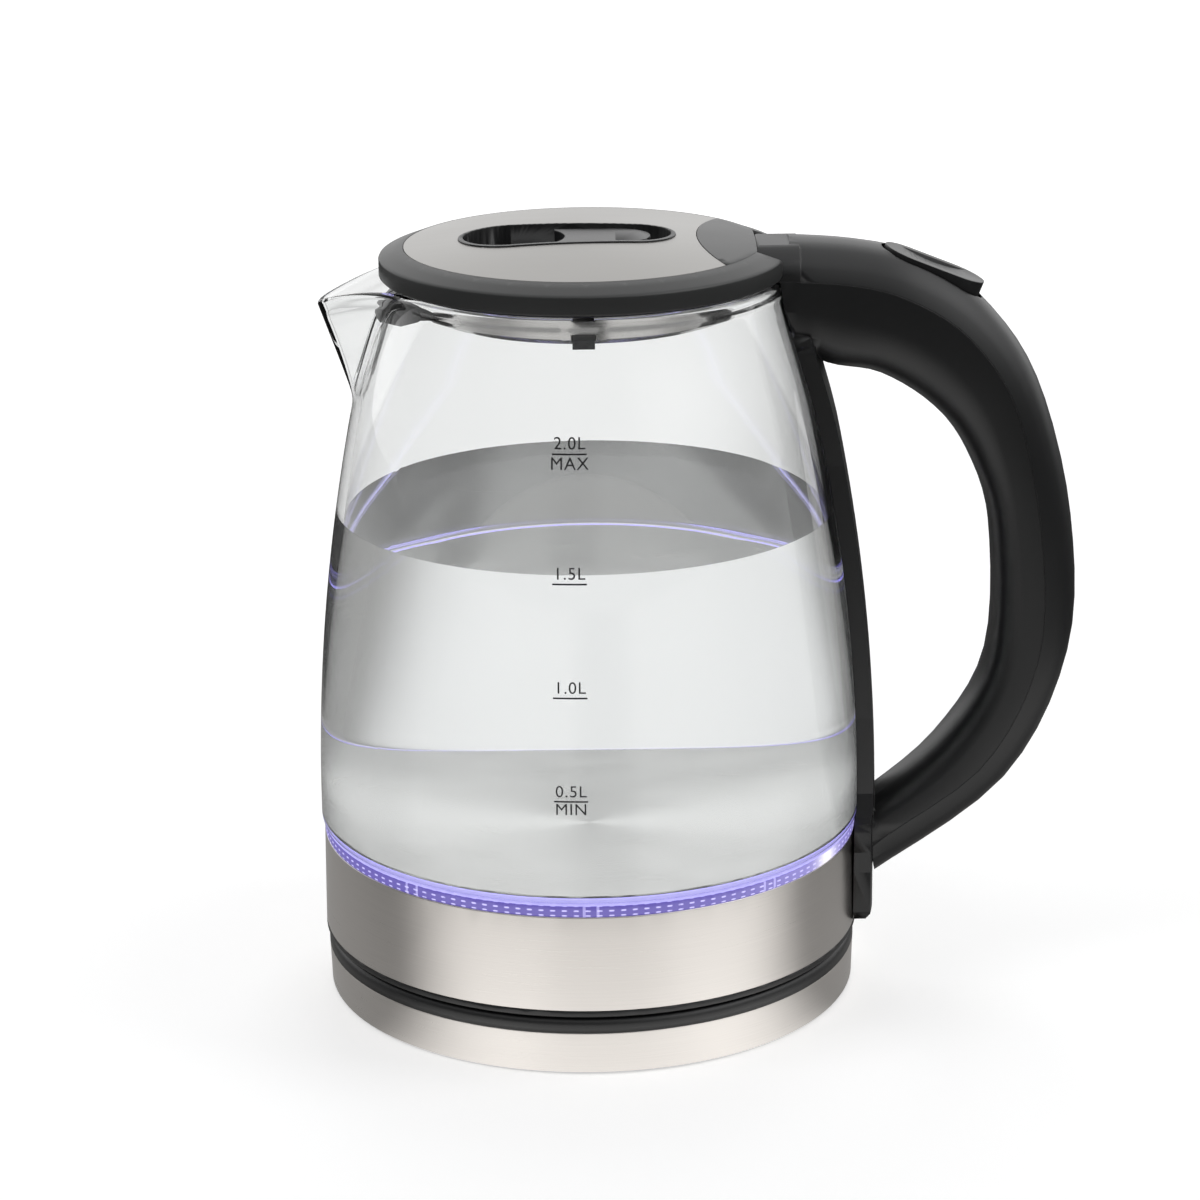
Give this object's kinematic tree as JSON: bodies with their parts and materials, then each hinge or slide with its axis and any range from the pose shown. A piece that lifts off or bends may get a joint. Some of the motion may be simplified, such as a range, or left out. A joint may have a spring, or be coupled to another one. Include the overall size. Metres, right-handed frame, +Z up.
{
  "type": "electric kettle",
  "caption": "Cordless glass electric kettle with steel-clad heater base, light ring, hinged lid with sliding release, rocker switch and swivelling power base.",
  "frame": {"origin": "centre of the power base on the surface that its feet stand on", "axes": "+Z up the jug's axis, +X from the jug to its handle, +Y away from the side that carries the volume scale"},
  "size_m": [0.2201, 0.1578, 0.2235],
  "materials": {
    "black_plastic": "satin moulded",
    "brushed_steel": "brushed round the body",
    "lid_steel": "satin, fine straight grain",
    "plate_steel": "turned, radial sheen",
    "glass": "clear borosilicate",
    "light_guide": "clear prism ring, lit blue-violet",
    "silicone": "translucent silicone",
    "gasket": "grey silicone",
    "rubber": "matt",
    "brass": "plain",
    "fastener": "zinc plated",
    "aluminium": "bare",
    "ivory_plastic": "moulded thermoplastic",
    "board": "printed board",
    "led": "LED package",
    "lead": "insulated wire"
  },
  "bodies": {
    "base": {"base_top_shell": "black_plastic", "base_steel_band": "brushed_steel", "base_bottom_cover": "black_plastic", "connector_tower": "black_plastic", "contact_rings": "brass", "cord_grommet": "rubber", "base_screws": "fastener", "rubber_feet": "rubber"},
    "centre_pin": {"earth_pin": "brass"},
    "jug": {"jug_bottom_cover": "black_plastic", "skirt_band": "brushed_steel", "skirt_liner": "black_plastic", "light_ring": "light_guide", "led_board": "board", "leds": "led", "heating_plate": "plate_steel", "plate_seal": "silicone", "heat_spreader": "aluminium", "heating_element": "aluminium", "element_terminals": "brass", "control_unit": "ivory_plastic", "jug_socket": "black_plastic", "boil_dry_discs": "brass", "bottom_screws": "fastener", "glass_jug": "glass", "handle_inner_shell": "black_plastic", "handle_outer_cover": "black_plastic", "handle_screws": "fastener", "switch_module": "black_plastic", "steam_disc": "brass", "switch_leads": "lead", "lid_hinge_pin": "fastener"},
    "lid": {"lid_rim": "black_plastic", "lid_steel_plate": "lid_steel", "recess_cup": "black_plastic", "lid_inner_cup": "brushed_steel", "lid_gasket": "gasket", "spout_strainer": "black_plastic", "lid_screws": "fastener"},
    "release": {"release_slide": "black_plastic", "release_carriage": "ivory_plastic", "latch_spring": "fastener"},
    "bolt_near": {"latch_bolt_near": "fastener"},
    "bolt_far": {"latch_bolt_far": "fastener"},
    "rocker": {"rocker_switch": "black_plastic"}
  },
  "joints": [
    {"name": "jug_swivel", "type": "hinge", "parent": "base", "child": "centre_pin", "pos_m": [0, 0, 0.02], "axis": [0, 0, 1], "continuous": true},
    {"name": "jug_lift", "type": "slide", "parent": "centre_pin", "child": "jug", "axis": [0, 0, 1], "range_m": [0, 0.12]},
    {"name": "lid_hinge", "type": "hinge", "parent": "jug", "child": "lid", "pos_m": [0.0525, 0, 0.2165], "axis": [0, 1, 0], "range_deg": [0, 80]},
    {"name": "lid_release", "type": "slide", "parent": "lid", "child": "release", "axis": [1, 0, 0], "range_m": [0, 0.005], "stiffness_N_per_m": 250, "springref_m": -0.003, "deforming": ["latch_spring"]},
    {"name": "bolt_near_slide", "type": "slide", "parent": "lid", "child": "bolt_near", "axis": [0, 1, 0], "range_m": [0, 0.005]},
    {"name": "bolt_far_slide", "type": "slide", "parent": "lid", "child": "bolt_far", "axis": [0, -1, 0], "range_m": [0, 0.005]},
    {"name": "rocker_hinge", "type": "hinge", "parent": "jug", "child": "rocker", "pos_m": [0.09707, 0, 0.20751], "axis": [0, 1, 0], "range_deg": [0, 8]}
  ],
  "couplings": [
    {"joint": "bolt_near_slide", "follows": "lid_release", "ratio": 1},
    {"joint": "bolt_far_slide", "follows": "lid_release", "ratio": 1}
  ]
}
